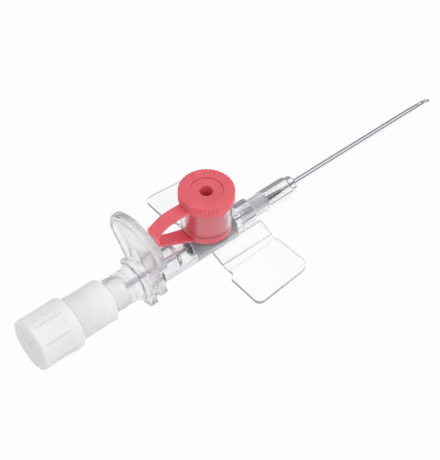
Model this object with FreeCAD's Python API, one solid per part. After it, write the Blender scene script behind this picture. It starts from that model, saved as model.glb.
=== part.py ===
"""Ported IV cannula with folding wings, its needle, flash plug and luer cap. Lengths in millimetres.

The origin is the middle of the hub's front face, where the bare catheter starts. +X runs to the needle's tip,
+Z up through the injection port, and the wings lie to both sides along Y.
"""
import FreeCAD
import Part
import math
import os

Vector = FreeCAD.Vector

# Catheter and needle, 20 gauge
catheter_reach = 33.0
catheter_od = 1.10
catheter_bore = 0.86
catheter_tip_length = 2.9
catheter_tip_od = 0.94
needle_od = 0.80
needle_bore = 0.56
needle_beyond_catheter = 3.25
needle_bevel_angle = 18.0
needle_in_chamber = 0.9

# Catheter hub, from its front face to its mouth
nose_spigot_length = 1.4
nose_spigot_od = 3.5
nose_length = 5.8
nose_od = 4.18
nose_edge_round = 0.3
neck_length = 3.4
neck_od = 3.64
nose_step_round = 0.13
front_barrel_length = 3.4
front_barrel_od = 5.0
shoulder_length = 0.6
barrel_step_length = 1.2
shoulder_to_port = 9.8
port_to_mouth = 11.8
barrel_od = 6.06
mouth_edge_round = 0.25

# Luer fit between needle hub and catheter hub
luer_mouth_bore = 4.27
luer_taper = 0.06
luer_lug_span = 7.8
luer_lug_width = 3.4
luer_lug_thickness = 1.0
fit_clearance = 0.03
seat_gap = 0.05

# Silicone valve under the port, and the bore ahead of it
valve_behind_port = 4.3
valve_ahead_of_port = 5.4
valve_bore = 2.5
valve_end_round = 0.25
front_bore = 3.0

# Steel ferrule that wedges the catheter in the nose
ferrule_rear_to_nose = 9.3
ferrule_collar_length = 3.2
ferrule_collar_od = 2.2
ferrule_wall = 0.12
ferrule_cone_rear_od = 1.96
ferrule_cone_length = 4.4
catheter_neck_length = 0.7

# Injection port
port_od = 8.96
port_wall = 0.62
port_height = 10.0
port_floor_height = 3.4
port_base_height = 3.05
port_base_thickness = 0.7
port_base_root_od = 5.8
port_base_root_height = 1.2
port_inner_wall = 0.85
port_inner_below_top = 0.5
port_duct = 1.8
port_bore_depth = 5.2
port_rim_round = 0.14

# Port lid
lid_od = 9.9
lid_above_port = 0.1
lid_rim_thickness = 2.1
lid_edge_round = 0.15
lid_recess_od = 6.0
lid_recess_depth = 0.35
lid_hole = 2.35
lid_hole_depth = 5.4
lid_skirt_wall = 0.55
lid_skirt_above_floor = 0.2
lid_knurl_count = 46
lid_knurl_radius = 0.2
lid_knurl_outset = 0.06
lid_knurl_band = 1.3

# Ring and strap that keep the lid
ring_wall = 0.34
ring_height = 1.2
ring_edge_round = 0.12
strap_width = 2.6
strap_thickness = 0.45
strap_reach = 11.9
strap_fold_lean = 0.25
strap_fold_height = 2.63
strap_fold_web = 0.4
strap_low_rise = 3.65
strap_lid_drop = 1.37
strap_crest_reach = 9.1
strap_crest_drop = 1.33
strap_crest_round = 10.0

# Wings
wing_front_from_port = 11.0
wing_rear_from_port = 1.48
wing_root_rear_from_port = 0.5
wing_span_rear = 32.3
wing_span_front = 30.1
wing_thickness = 0.7
wing_under = 3.1
wing_root_y = 2.1
wing_root_top = 1.35
wing_root_under = 2.2
wing_fold_inner_y = 5.25
wing_fold_outer_rear_y = 7.15
wing_fold_outer_front_y = 6.6
wing_web_thickness = 0.35
wing_notch_y = 8.7
wing_notch_width = 0.7
wing_notch_round = 0.3
wing_front_corner_round = 2.0
wing_rear_corner_round = 1.2
wing_front_sweep = 0.4

# Needle hub: male taper, lobed flange, chamber and grip plate
male_taper_length = 6.5
male_taper_seated = 4.8
male_nose_round = 0.6
flange_thickness = 1.3
flange_od = 8.4
flange_edge_round = 0.3
flange_lobe_span = 11.8
flange_lobe_width = 3.1
flange_lobe_round = 0.7
flange_lobe_turn = -18.0
flange_lobe_count = 4
boss_od = 7.6
boss_length = 1.7
boss_edge_round = 0.5
chamber_od = 6.13
chamber_bore = 4.7
chamber_length = 7.6
chamber_front_wall = 4.2
chamber_cone_length = 1.2
plate_height = 14.1
plate_crown_radius = 8.8
plate_top_half_width = 5.4
plate_corner_height = 8.6
plate_corner_round = 1.6
plate_half_width = 6.9
plate_foot_height = 2.4
plate_foot_half_width = 3.8
plate_thickness = 1.6
plate_dish_depth = 0.8
plate_rim_width = 0.85
plate_lean = 6.0

# Vent plug and its filter
plug_spigot_length = 3.4
plug_spigot_bore = 3.2
plug_collar_od = 7.9
plug_collar_length = 7.4
plug_collar_edge_round = 0.35
plug_spigot_edge_round = 0.15
plug_socket_bore = 6.3
plug_socket_depth = 3.4
plug_vent_bore = 1.6
filter_thickness = 1.2
filter_behind_chamber = 1.7

# Luer cap
cap_od = 9.6
cap_plain_length = 1.95
cap_flats = 9.3
cap_length = 8.05
cap_edge_round = 0.5
cap_front_round = 0.7
cap_neck_length = 2.1
cap_neck_wall = 0.8
cap_cavity_depth = 5.5
cap_pad_count = 8
cap_groove_width = 0.45
cap_groove_depth = 0.25
cap_groove_turn = 7.7
cap_dimple_od = 1.6
cap_dimple_depth = 0.4

# Stations along X
nose_front_x = -nose_spigot_length
neck_x = nose_front_x - nose_length
shoulder_x = neck_x - neck_length
port_x = shoulder_x - shoulder_to_port
mouth_x = port_x - port_to_mouth
needle_tip_x = catheter_reach + needle_beyond_catheter
male_front_x = mouth_x + male_taper_seated
flange_front_x = male_front_x - male_taper_length
flange_rear_x = flange_front_x - flange_thickness
chamber_rear_x = flange_rear_x - chamber_length
chamber_front_x = flange_front_x - chamber_front_wall
collar_front_x = chamber_rear_x - seat_gap
collar_rear_x = collar_front_x - plug_collar_length
cap_front_x = collar_rear_x - seat_gap
filter_rear_x = collar_front_x - filter_behind_chamber
cap_rear_x = cap_front_x - cap_length

# Radii that more than one piece uses
catheter_wall = (catheter_od - catheter_bore) / 2
barrel_radius = barrel_od / 2
port_radius = port_od / 2
port_bore_radius = port_radius - port_wall
port_inner_top = port_height - port_inner_below_top
ring_inner_radius = port_radius - ring_wall
lid_radius = lid_od / 2
lid_underside = port_height + lid_above_port
lid_top_height = lid_underside + lid_rim_thickness
chamber_bore_radius = chamber_bore / 2
socket_radius = plug_socket_bore / 2
spigot_radius = chamber_bore_radius - fit_clearance

# How far cutting shapes run past what they cut, and how near two corners are one
overrun = 1.0
coincident = 1e-6


def luer_radius(depth):
    """Radius of the female luer cone at a depth inside its mouth; a negative depth is outside."""
    return (luer_mouth_bore - luer_taper * depth) / 2


valve_rear_x = port_x - valve_behind_port
valve_front_x = port_x + valve_ahead_of_port
valve_seat_radius = luer_radius(valve_rear_x - mouth_x)
ferrule_rear_x = -ferrule_rear_to_nose
ferrule_cone_x = ferrule_rear_x + ferrule_collar_length
ferrule_front_x = ferrule_cone_x + ferrule_cone_length
ferrule_front_radius = catheter_bore / 2 + ferrule_wall / 2


def face(corners, place):
    """Closed flat face through corners (u, v) or (u, v, rounding), put in space by place(u, v)."""
    starts = []
    ends = []
    middles = []
    count = len(corners)
    points = [Vector(corner[0], corner[1], 0) for corner in corners]
    for index, corner in enumerate(corners):
        here = points[index]
        rounding = corner[2] if len(corner) > 2 else 0
        if rounding == 0:
            starts.append(here)
            ends.append(here)
            middles.append(None)
            continue
        before = (points[index - 1] - here).normalize()
        after = (points[(index + 1) % count] - here).normalize()
        inward = (before + after).normalize()
        half = before.getAngle(after) / 2
        starts.append(here + before * (rounding / math.tan(half)))
        ends.append(here + after * (rounding / math.tan(half)))
        middles.append(here + inward * (rounding / math.sin(half) - rounding))
    edges = []
    for index in range(count):
        last = ends[index - 1]
        start = starts[index]
        if last.distanceToPoint(start) > coincident:
            edges.append(Part.LineSegment(place(last.x, last.y), place(start.x, start.y)).toShape())
        if middles[index] is not None:
            middle = middles[index]
            end = ends[index]
            arc = Part.Arc(place(start.x, start.y), place(middle.x, middle.y), place(end.x, end.y))
            edges.append(arc.toShape())
    return Part.Face(Part.Wire(edges))


def turned(corners):
    """Solid of revolution about the cannula's axis, from corners (x, radius)."""
    section = face(corners, lambda x, radius: Vector(x, 0, radius))
    return section.revolve(Vector(0, 0, 0), Vector(1, 0, 0), 360)


def turned_up(corners):
    """Solid of revolution about the port's axis, from corners (radius, z)."""
    section = face(corners, lambda radius, z: Vector(port_x + radius, 0, z))
    return section.revolve(Vector(port_x, 0, 0), Vector(0, 0, 1), 360)


def plate_in_plan(corners, low, thickness):
    """Flat plate with its outline in X and Y."""
    return face(corners, lambda x, y: Vector(x, y, low)).extrude(Vector(0, 0, thickness))


def across(corners, rear, length):
    """Bar along X with its section in Y and Z."""
    return face(corners, lambda y, z: Vector(rear, y, z)).extrude(Vector(length, 0, 0))


def along_y(corners, width):
    """Bar across the object with its section in X and Z, centred on the XZ plane."""
    return face(corners, lambda x, z: Vector(x, -width / 2, z)).extrude(Vector(0, width, 0))


def mirrored(shape):
    """The shape and its mirror image on the other side."""
    return shape.fuse(shape.mirror(Vector(0, 0, 0), Vector(0, 1, 0)))


def ringed(shape, count, centre, axis, turn=0.0):
    """Copies of the shape at equal angles about an axis, the first turned by turn degrees."""
    copies = []
    for index in range(count):
        copy = shape.copy()
        copy.rotate(centre, axis, turn + 360.0 * index / count)
        copies.append(copy)
    return copies


def hub_outside():
    """Barrel, neck and nose as one turned shape, with luer lugs above and below the mouth."""
    step_x = shoulder_x - front_barrel_length
    body = turned([
        (mouth_x, 0),
        (mouth_x, barrel_radius, mouth_edge_round),
        (step_x - barrel_step_length, barrel_radius, mouth_edge_round),
        (step_x, front_barrel_od / 2, mouth_edge_round),
        (shoulder_x, front_barrel_od / 2, mouth_edge_round),
        (shoulder_x + shoulder_length, neck_od / 2),
        (neck_x, neck_od / 2),
        (neck_x, nose_od / 2, nose_step_round),
        (nose_front_x, nose_od / 2, nose_edge_round),
        (nose_front_x, nose_spigot_od / 2),
        (0, nose_spigot_od / 2, nose_edge_round),
        (0, 0),
    ])
    lug_disc = turned([
        (mouth_x, 0),
        (mouth_x, luer_lug_span / 2, mouth_edge_round),
        (mouth_x + luer_lug_thickness, luer_lug_span / 2, mouth_edge_round),
        (mouth_x + luer_lug_thickness, 0),
    ])
    lug_band = Part.makeBox(luer_lug_thickness, luer_lug_width, luer_lug_span,
                            Vector(mouth_x, -luer_lug_width / 2, -luer_lug_span / 2))
    return body.fuse(lug_disc.common(lug_band))


def hub_bore():
    """Everything hollow along the axis: luer cone, valve seat, ferrule seat and catheter hole."""
    return turned([
        (mouth_x - overrun, 0),
        (mouth_x - overrun, luer_radius(-overrun)),
        (valve_rear_x, valve_seat_radius),
        (valve_front_x, valve_seat_radius),
        (valve_front_x, front_bore / 2),
        (shoulder_x, front_bore / 2),
        (ferrule_rear_x, ferrule_collar_od / 2),
        (ferrule_cone_x, ferrule_collar_od / 2),
        (ferrule_cone_x, ferrule_cone_rear_od / 2 + catheter_wall),
        (ferrule_front_x, ferrule_front_radius + catheter_wall),
        (ferrule_front_x + catheter_neck_length, catheter_od / 2),
        (overrun, catheter_od / 2),
        (overrun, 0),
    ])


def port_outside():
    """Outer wall of the port, with the strap ring's groove at its foot and its root on the barrel."""
    return turned_up([
        (0, 0),
        (port_base_root_od / 2, 0),
        (port_base_root_od / 2, port_base_root_height),
        (port_radius, port_base_height - port_base_thickness),
        (port_radius, port_base_height),
        (ring_inner_radius, port_base_height),
        (ring_inner_radius, port_base_height + ring_height),
        (port_radius, port_base_height + ring_height),
        (port_radius, port_height, port_rim_round),
        (0, port_height),
    ])


def port_inside():
    """Ring-shaped space for the lid's skirt, and the luer bore with its duct to the valve."""
    inner_radius = luer_mouth_bore / 2 + port_inner_wall
    skirt_space = turned_up([
        (inner_radius, port_floor_height),
        (port_bore_radius, port_floor_height),
        (port_bore_radius, port_height + overrun),
        (0, port_height + overrun),
        (0, port_inner_top),
        (inner_radius, port_inner_top),
    ])
    luer_bore = turned_up([
        (0, port_inner_top - port_bore_depth),
        (luer_radius(port_bore_depth), port_inner_top - port_bore_depth),
        (luer_radius(-overrun), port_inner_top + overrun),
        (0, port_inner_top + overrun),
    ])
    duct = turned_up([
        (0, 0),
        (port_duct / 2, 0),
        (port_duct / 2, port_inner_top - port_bore_depth + overrun),
        (0, port_inner_top - port_bore_depth + overrun),
    ])
    return skirt_space.fuse([luer_bore, duct])


def wing():
    """One wing: sloping root panel, thin web that folds, and the flat outer panel with its notch."""
    front = port_x + wing_front_from_port
    root_rear = port_x - wing_root_rear_from_port
    outer_rear = port_x - wing_rear_from_port
    length = front - root_rear
    top = -wing_under + wing_thickness
    root = across([
        (wing_root_y, -wing_root_top),
        (wing_fold_inner_y, top),
        (wing_fold_inner_y, -wing_under),
        (wing_root_y, -wing_root_under),
    ], root_rear, length)
    web = plate_in_plan([
        (root_rear, wing_fold_inner_y),
        (front, wing_fold_inner_y),
        (front, wing_fold_outer_front_y),
        (root_rear, wing_fold_outer_rear_y),
    ], -wing_under, wing_web_thickness)
    outer = plate_in_plan([
        (root_rear, wing_fold_outer_rear_y),
        (front, wing_fold_outer_front_y),
        (front + wing_front_sweep, wing_span_front / 2, wing_front_corner_round),
        (outer_rear, wing_span_rear / 2, wing_rear_corner_round),
        (outer_rear, wing_notch_y, wing_notch_round),
        (root_rear, wing_notch_y - wing_notch_width, wing_notch_round),
    ], -wing_under, wing_thickness)
    return root.fuse([web, outer])


def catheter_hub():
    """Clear moulding that stays on the patient."""
    solid = hub_outside().fuse([port_outside(), mirrored(wing())])
    return solid.cut([hub_bore(), port_inside()]).removeSplitter()


def catheter_tube():
    """Catheter, flared over the ferrule at its rear and drawn thin at its tip."""
    return turned([
        (ferrule_cone_x, ferrule_cone_rear_od / 2),
        (ferrule_cone_x, ferrule_cone_rear_od / 2 + catheter_wall),
        (ferrule_front_x, ferrule_front_radius + catheter_wall),
        (ferrule_front_x + catheter_neck_length, catheter_od / 2),
        (catheter_reach - catheter_tip_length, catheter_od / 2),
        (catheter_reach, catheter_tip_od / 2),
        (catheter_reach, catheter_bore / 2),
        (ferrule_front_x + catheter_neck_length, catheter_bore / 2),
        (ferrule_front_x, ferrule_front_radius),
    ])


def catheter_ferrule():
    """Steel funnel: its collar sits in the neck and its cone wedges the catheter."""
    return turned([
        (ferrule_rear_x, ferrule_collar_od / 2 - ferrule_wall),
        (ferrule_rear_x, ferrule_collar_od / 2),
        (ferrule_cone_x, ferrule_collar_od / 2),
        (ferrule_cone_x, ferrule_cone_rear_od / 2),
        (ferrule_front_x, ferrule_front_radius),
        (ferrule_front_x, catheter_bore / 2),
        (ferrule_cone_x, ferrule_cone_rear_od / 2 - ferrule_wall),
    ])


def valve_sleeve():
    """Silicone sleeve that covers the port's duct from inside."""
    return turned([
        (valve_rear_x, valve_bore / 2),
        (valve_rear_x, valve_seat_radius, valve_end_round),
        (valve_front_x, valve_seat_radius),
        (valve_front_x, valve_bore / 2),
    ])


def port_lid():
    """Lid with knurled rim, recess and blind hole, with its skirt and luer plug."""
    skirt_outer = port_bore_radius - fit_clearance
    skirt_inner = skirt_outer - lid_skirt_wall
    skirt_low = port_floor_height + lid_skirt_above_floor
    plug_low = port_inner_top - port_bore_depth + overrun
    plug_depth = port_inner_top - plug_low
    body = turned_up([
        (0, plug_low),
        (luer_radius(plug_depth) - fit_clearance, plug_low),
        (luer_radius(port_inner_top - lid_underside) - fit_clearance, lid_underside),
        (skirt_inner, lid_underside),
        (skirt_inner, skirt_low),
        (skirt_outer, skirt_low),
        (skirt_outer, lid_underside),
        (lid_radius, lid_underside, lid_edge_round),
        (lid_radius, lid_top_height, lid_edge_round),
        (lid_recess_od / 2, lid_top_height),
        (lid_recess_od / 2, lid_top_height - lid_recess_depth),
        (lid_hole / 2, lid_top_height - lid_recess_depth),
        (lid_hole / 2, lid_top_height - lid_hole_depth),
        (0, lid_top_height - lid_hole_depth),
    ])
    groove = Part.makeCylinder(lid_knurl_radius, lid_rim_thickness,
                               Vector(port_x + lid_radius + lid_knurl_outset, 0, lid_underside + lid_knurl_band))
    grooves = ringed(groove, lid_knurl_count, Vector(port_x, 0, 0), Vector(0, 0, 1))
    return body.cut(grooves)


def port_strap():
    """Ring in the groove at the port's foot, with the strap that folds back on itself up to the lid."""
    ring = turned_up([
        (ring_inner_radius, port_base_height),
        (port_radius, port_base_height, ring_edge_round),
        (port_radius, port_base_height + ring_height, ring_edge_round),
        (ring_inner_radius, port_base_height + ring_height),
    ])
    inner_x = port_x - ring_inner_radius
    fold_x = port_x - strap_reach
    low_end_x = fold_x + strap_fold_lean
    crest_x = port_x - strap_crest_reach
    low_z = port_base_height
    high_z = lid_top_height - strap_lid_drop
    crest_z = lid_top_height - strap_crest_drop
    fold_low_z = low_z + strap_low_rise
    fold_high_z = fold_low_z + strap_fold_height
    low_slope = strap_low_rise / (inner_x - low_end_x)
    high_slope = (crest_z - fold_high_z) / (crest_x - fold_x)
    strap = along_y([
        (inner_x, high_z),
        (crest_x, crest_z, strap_crest_round),
        (fold_x, fold_high_z),
        (fold_x, fold_high_z - strap_thickness),
        (low_end_x, fold_low_z + strap_thickness),
        (low_end_x, fold_low_z),
        (inner_x, low_z),
        (inner_x, low_z + strap_thickness),
        (low_end_x + strap_fold_web, fold_low_z + strap_thickness - low_slope * strap_fold_web),
        (fold_x + strap_fold_web, fold_high_z - strap_thickness + high_slope * strap_fold_web),
        (crest_x, crest_z - strap_thickness, strap_crest_round - strap_thickness),
        (inner_x, high_z - strap_thickness),
    ], strap_width)
    lid_space = Part.makeCylinder(lid_radius + seat_gap, lid_top_height,
                                  Vector(port_x, 0, port_base_height + ring_height))
    port_space = Part.makeCylinder(port_radius, lid_top_height, Vector(port_x, 0, 0))
    return ring.fuse(strap.cut([lid_space, port_space])).removeSplitter()


def needle():
    """Steel tube with its bevel facing up; the point is at the underside."""
    radius = needle_od / 2
    rear_x = chamber_front_x - needle_in_chamber
    length = needle_tip_x - rear_x
    origin = Vector(rear_x, 0, 0)
    axis = Vector(1, 0, 0)
    solid = Part.makeCylinder(radius, length, origin, axis)
    bore = Part.makeCylinder(needle_bore / 2, length, origin, axis)
    bevel_length = needle_od / math.tan(math.radians(needle_bevel_angle))
    bevel = along_y([
        (needle_tip_x, -radius),
        (needle_tip_x - bevel_length, radius),
        (needle_tip_x - bevel_length, radius + overrun),
        (needle_tip_x + overrun, radius + overrun),
        (needle_tip_x + overrun, -radius),
    ], needle_od + overrun)
    return solid.cut([bore, bevel])


def fan(rear, thickness, inset):
    """Fan shape with an arched top, its edge moved in by inset."""
    half = [
        (plate_foot_half_width - inset, plate_foot_height + inset),
        (plate_half_width - inset, plate_corner_height, plate_corner_round),
        (plate_top_half_width - inset, plate_height),
    ]
    outline = half + [(-y, z, *rounding) for y, z, *rounding in reversed(half)]
    crown = Part.makeCylinder(plate_crown_radius - inset, thickness,
                              Vector(rear, 0, plate_height - plate_crown_radius), Vector(1, 0, 0))
    return across(outline, rear, thickness).common(crown)


def grip_plate():
    """Fan-shaped plate for the thumb, dished behind, leaning back from its foot."""
    plate_rear_x = flange_front_x - plate_thickness
    plate = fan(plate_rear_x, plate_thickness, 0)
    dish = fan(plate_rear_x - overrun, overrun + plate_dish_depth, plate_rim_width)
    plate = plate.cut(dish)
    plate.rotate(Vector(flange_front_x, 0, plate_foot_height), Vector(0, 1, 0), -plate_lean)
    return plate


def needle_hub():
    """Clear moulding that carries the needle: male taper, flange, chamber and grip plate."""
    def male_radius(x):
        return luer_radius(x - mouth_x) - fit_clearance

    body = turned([
        (male_front_x, 0),
        (male_front_x, male_radius(male_front_x), male_nose_round),
        (flange_front_x, male_radius(flange_front_x)),
        (flange_front_x, flange_od / 2, flange_edge_round),
        (flange_rear_x, flange_od / 2, flange_edge_round),
        (flange_rear_x, boss_od / 2),
        (flange_rear_x - boss_length, boss_od / 2, boss_edge_round),
        (flange_rear_x - boss_length, chamber_od / 2),
        (chamber_rear_x, chamber_od / 2),
        (chamber_rear_x, 0),
    ])
    lobe = across([
        (-flange_lobe_width / 2, 0),
        (-flange_lobe_width / 2, flange_lobe_span / 2, flange_lobe_round),
        (flange_lobe_width / 2, flange_lobe_span / 2, flange_lobe_round),
        (flange_lobe_width / 2, 0),
    ], flange_rear_x, flange_thickness)
    lobes = ringed(lobe, flange_lobe_count, Vector(0, 0, 0), Vector(1, 0, 0), flange_lobe_turn)
    chamber = turned([
        (chamber_rear_x - overrun, 0),
        (chamber_rear_x - overrun, chamber_bore_radius),
        (chamber_front_x - chamber_cone_length, chamber_bore_radius),
        (chamber_front_x, needle_od / 2),
        (chamber_front_x, 0),
    ])
    needle_hole = Part.makeCylinder(needle_od / 2, male_front_x - chamber_front_x + 2 * overrun,
                                    Vector(chamber_front_x - overrun, 0, 0), Vector(1, 0, 0))
    solid = body.fuse(lobes + [grip_plate()])
    return solid.cut([chamber, needle_hole]).removeSplitter()


def vent_plug():
    """Plug of the flash chamber: spigot, web with vent hole, and collar with the cap's socket."""
    socket_x = collar_rear_x + plug_socket_depth
    return turned([
        (collar_front_x + plug_spigot_length, plug_spigot_bore / 2),
        (collar_front_x + plug_spigot_length, spigot_radius, plug_spigot_edge_round),
        (collar_front_x, spigot_radius),
        (collar_front_x, plug_collar_od / 2, plug_collar_edge_round),
        (collar_rear_x, plug_collar_od / 2, plug_collar_edge_round),
        (collar_rear_x, socket_radius),
        (socket_x, socket_radius),
        (socket_x, plug_vent_bore / 2),
        (filter_rear_x, plug_vent_bore / 2),
        (filter_rear_x, plug_spigot_bore / 2),
    ])


def vent_filter():
    """Porous disc that lets air out of the chamber and holds the blood back."""
    return Part.makeCylinder(plug_spigot_bore / 2, filter_thickness, Vector(filter_rear_x, 0, 0), Vector(1, 0, 0))


def luer_cap():
    """Cap at the rear: a neck in the plug's socket, a plain band and a grip of flat pads with grooves between."""
    neck_radius = socket_radius - fit_clearance
    neck_front_x = cap_front_x + cap_neck_length
    cavity_x = cap_front_x - cap_cavity_depth
    radius = cap_od / 2
    grip_length = cap_length - cap_plain_length
    body = turned([
        (cavity_x, 0),
        (cavity_x, neck_radius - cap_neck_wall),
        (neck_front_x, neck_radius - cap_neck_wall),
        (neck_front_x, neck_radius),
        (cap_front_x, neck_radius),
        (cap_front_x, radius, cap_front_round),
        (cap_rear_x, radius, cap_edge_round),
        (cap_rear_x, cap_dimple_od / 2),
        (cap_rear_x + cap_dimple_depth, 0),
    ])

    def cutter(width, low):
        """Block above a height, over the whole grip."""
        return Part.makeBox(grip_length + overrun, width, overrun + radius - low,
                            Vector(cap_rear_x - overrun, -width / 2, low))

    half_turn = 180.0 / cap_pad_count
    centre = Vector(0, 0, 0)
    axis = Vector(1, 0, 0)
    flats = ringed(cutter(cap_od, cap_flats / 2), cap_pad_count, centre, axis, cap_groove_turn + half_turn)
    groove = cutter(cap_groove_width, radius - cap_groove_depth)
    grooves = ringed(groove, cap_pad_count, centre, axis, cap_groove_turn)
    return body.cut(flats).cut(grooves)


PIECES = {
    "catheter_hub": catheter_hub,
    "catheter_tube": catheter_tube,
    "catheter_ferrule": catheter_ferrule,
    "valve_sleeve": valve_sleeve,
    "port_lid": port_lid,
    "port_strap": port_strap,
    "needle": needle,
    "needle_hub": needle_hub,
    "vent_plug": vent_plug,
    "vent_filter": vent_filter,
    "luer_cap": luer_cap,
}

os.makedirs("parts", exist_ok=True)
for name, make in PIECES.items():
    shape = make()
    box = shape.BoundBox
    print(f"{name}: solids {len(shape.Solids)}, valid {shape.isValid()}, volume {shape.Volume:.2f},"
          f" x {box.XMin:.2f} {box.XMax:.2f}, y {box.YMin:.2f} {box.YMax:.2f}, z {box.ZMin:.2f} {box.ZMax:.2f}")
    shape.exportStep(f"parts/{name}.step")
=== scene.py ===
# %% [markdown]
# # An IV cannula with its port, wings and needle
#
# This lesson dresses a small medical disposable in Blender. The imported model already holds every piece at
# its real size and in its real place, so the work here is looks: a camera that matches a photograph, a
# bright white table, smooth meshes for the pieces that show most, and materials for clear, frosted, milky
# and coral plastic, silicone and polished steel.
#
# The hard part is the clear plastic. A clear thing on a white table is nearly invisible: only its edges
# show, where the light that reaches the eye comes from somewhere darker. So the light matters as much as
# the finish.

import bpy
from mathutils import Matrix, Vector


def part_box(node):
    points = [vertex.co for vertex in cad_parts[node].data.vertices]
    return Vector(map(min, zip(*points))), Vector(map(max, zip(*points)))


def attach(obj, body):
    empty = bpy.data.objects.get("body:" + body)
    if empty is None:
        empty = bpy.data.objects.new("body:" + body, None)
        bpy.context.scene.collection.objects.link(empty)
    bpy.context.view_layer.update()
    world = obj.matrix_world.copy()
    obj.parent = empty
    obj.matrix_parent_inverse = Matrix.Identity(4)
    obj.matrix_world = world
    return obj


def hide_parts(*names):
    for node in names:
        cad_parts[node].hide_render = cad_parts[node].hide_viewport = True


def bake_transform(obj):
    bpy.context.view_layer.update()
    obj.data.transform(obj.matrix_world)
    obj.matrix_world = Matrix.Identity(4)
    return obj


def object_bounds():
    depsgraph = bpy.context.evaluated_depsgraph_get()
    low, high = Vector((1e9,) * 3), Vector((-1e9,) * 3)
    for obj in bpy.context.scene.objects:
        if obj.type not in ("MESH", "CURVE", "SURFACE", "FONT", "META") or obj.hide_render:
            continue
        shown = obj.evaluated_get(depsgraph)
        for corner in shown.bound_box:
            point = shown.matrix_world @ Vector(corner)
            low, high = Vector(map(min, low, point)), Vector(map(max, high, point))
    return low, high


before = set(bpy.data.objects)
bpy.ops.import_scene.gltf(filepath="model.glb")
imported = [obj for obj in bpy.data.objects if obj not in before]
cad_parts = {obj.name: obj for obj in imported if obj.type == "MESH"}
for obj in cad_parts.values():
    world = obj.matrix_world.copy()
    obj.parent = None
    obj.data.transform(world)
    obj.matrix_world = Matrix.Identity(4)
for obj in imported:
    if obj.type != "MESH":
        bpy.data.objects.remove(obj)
cad_low, cad_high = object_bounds()
print("nodes:", sorted(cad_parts))
print("size in mm:", [round(1000 * side, 2) for side in cad_high - cad_low])

# %% Modules and units
import math

import bmesh
import bpy
from mathutils import Matrix, Vector

MM = 0.001
scene = bpy.context.scene

# %% [markdown]
# ## The camera
#
# The photograph was taken from the left and well above, with a long lens. Its view was worked out
# beforehand from sizes that are known: the lid's circle, seen as an ellipse, gives the height of the
# camera, and the straight cannula gives its direction. What is left are a few numbers: two angles, a
# small roll, a distance, and where one known point of the object falls in the picture. The point used
# here is where the axis of the port crosses the axis of the cannula.
#
# Blender can move the picture without turning the camera, with the lens shift. Here the camera itself is
# placed so that no shift is needed, which keeps other views simple.

# %% Camera that matches the photograph
PHOTO_WIDTH = 440
PHOTO_HEIGHT = 460
AZIMUTH = math.radians(-40.74)
ELEVATION = math.radians(48.02)
ROLL = math.radians(0.78)
DISTANCE = 250 * MM
PIXELS_PER_MM = 5.63
PORT_PIXEL = (206.3, 236.7)
SENSOR_WIDTH = 36

lid_low, lid_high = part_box("port_lid")
port_centre = (lid_low + lid_high) / 2
aim = Vector((port_centre.x, 0, 0))

flat_back = Vector((math.sin(AZIMUTH), -math.cos(AZIMUTH), 0))
back = flat_back * math.cos(ELEVATION) + Vector((0, 0, math.sin(ELEVATION)))
level_right = Vector((math.cos(AZIMUTH), math.sin(AZIMUTH), 0))
level_up = back.cross(level_right)
right = level_right * math.cos(ROLL) + level_up * math.sin(ROLL)
up = level_up * math.cos(ROLL) - level_right * math.sin(ROLL)

focal_pixels = PIXELS_PER_MM / MM * DISTANCE
aside = (PORT_PIXEL[0] - PHOTO_WIDTH / 2) / focal_pixels * DISTANCE
above = (PHOTO_HEIGHT / 2 - PORT_PIXEL[1]) / focal_pixels * DISTANCE

camera_data = bpy.data.cameras.new("photo_camera")
camera_data.sensor_fit = "HORIZONTAL"
camera_data.sensor_width = SENSOR_WIDTH
camera_data.lens = focal_pixels * SENSOR_WIDTH / PHOTO_WIDTH
camera_data.clip_start = DISTANCE / 20
camera = bpy.data.objects.new("photo_camera", camera_data)
scene.collection.objects.link(camera)
turn = Matrix((right, up, back)).transposed()
camera.matrix_world = Matrix.Translation(aim + back * DISTANCE - right * aside - up * above) @ turn.to_4x4()
scene.camera = camera
print("lens in mm:", round(camera_data.lens, 1))

# %% [markdown]
# ## The light and the white table
#
# The world is a white studio in three versions, and the Light Path node picks one for each ray.
#
# - Mirrored rays see a dark lilac band between the table's height and the top. A photographer puts black
#   cards there, because a polished needle on a white table has no outline without them. The test is the
#   Glossy Depth and not Is Glossy Ray, so it also holds for a needle that is seen through a clear tube.
# - Rays that pass through clear plastic see a narrower and paler band, which draws the grey edges.
# - Matt surfaces are lit by a soft gradient that is brightest above and towards the front right.
#
# What the camera sees directly is plain white. All of it is fixed to the room, so nothing changes when
# the camera moves.
#
# The table glows white for the eye, with a little of its own shading left in, which keeps a faint shadow
# under the object. In a mirror the table gets dark away from the object, so the needle's lower side has
# its line too. For diffuse light it is an ordinary pale table, which lights the object from below.

# %% Nodes in few lines
def add(tree, kind, **values):
    """A node with its properties and input values; an input's value may be another node's output."""
    node = tree.nodes.new(kind)
    for key, value in values.items():
        if hasattr(node, key):
            setattr(node, key, value)
            continue
        entry = node.inputs[int(key[2:])] if key.startswith("in") and key[2:].isdigit() else node.inputs[key]
        if isinstance(value, bpy.types.NodeSocket):
            tree.links.new(value, entry)
        else:
            entry.default_value = value
    return node


def ramp(tree, factor, stops):
    """A colour ramp from a list of (position, colour) stops."""
    node = tree.nodes.new("ShaderNodeValToRGB")
    tree.links.new(factor, node.inputs[0])
    elements = node.color_ramp.elements
    while len(elements) < len(stops):
        elements.new(0.5)
    for element, (position, colour) in zip(elements, stops):
        element.position = position
        element.color = (*colour, 1)
    return node.outputs["Color"]


# %% The world
FULL_WHITE = (1.0, 1.0, 1.0)
LOW_WHITE = (0.95, 0.95, 0.97)
BAND = (0.17, 0.168, 0.20)
BAND_EDGE = (0.50, 0.49, 0.53)
THROUGH_BAND = (0.40, 0.39, 0.45)
MATT_DARK = (0.42, 0.415, 0.41)
BRIGHT_SIDE = (0.28, -0.42, 0.86)

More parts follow.
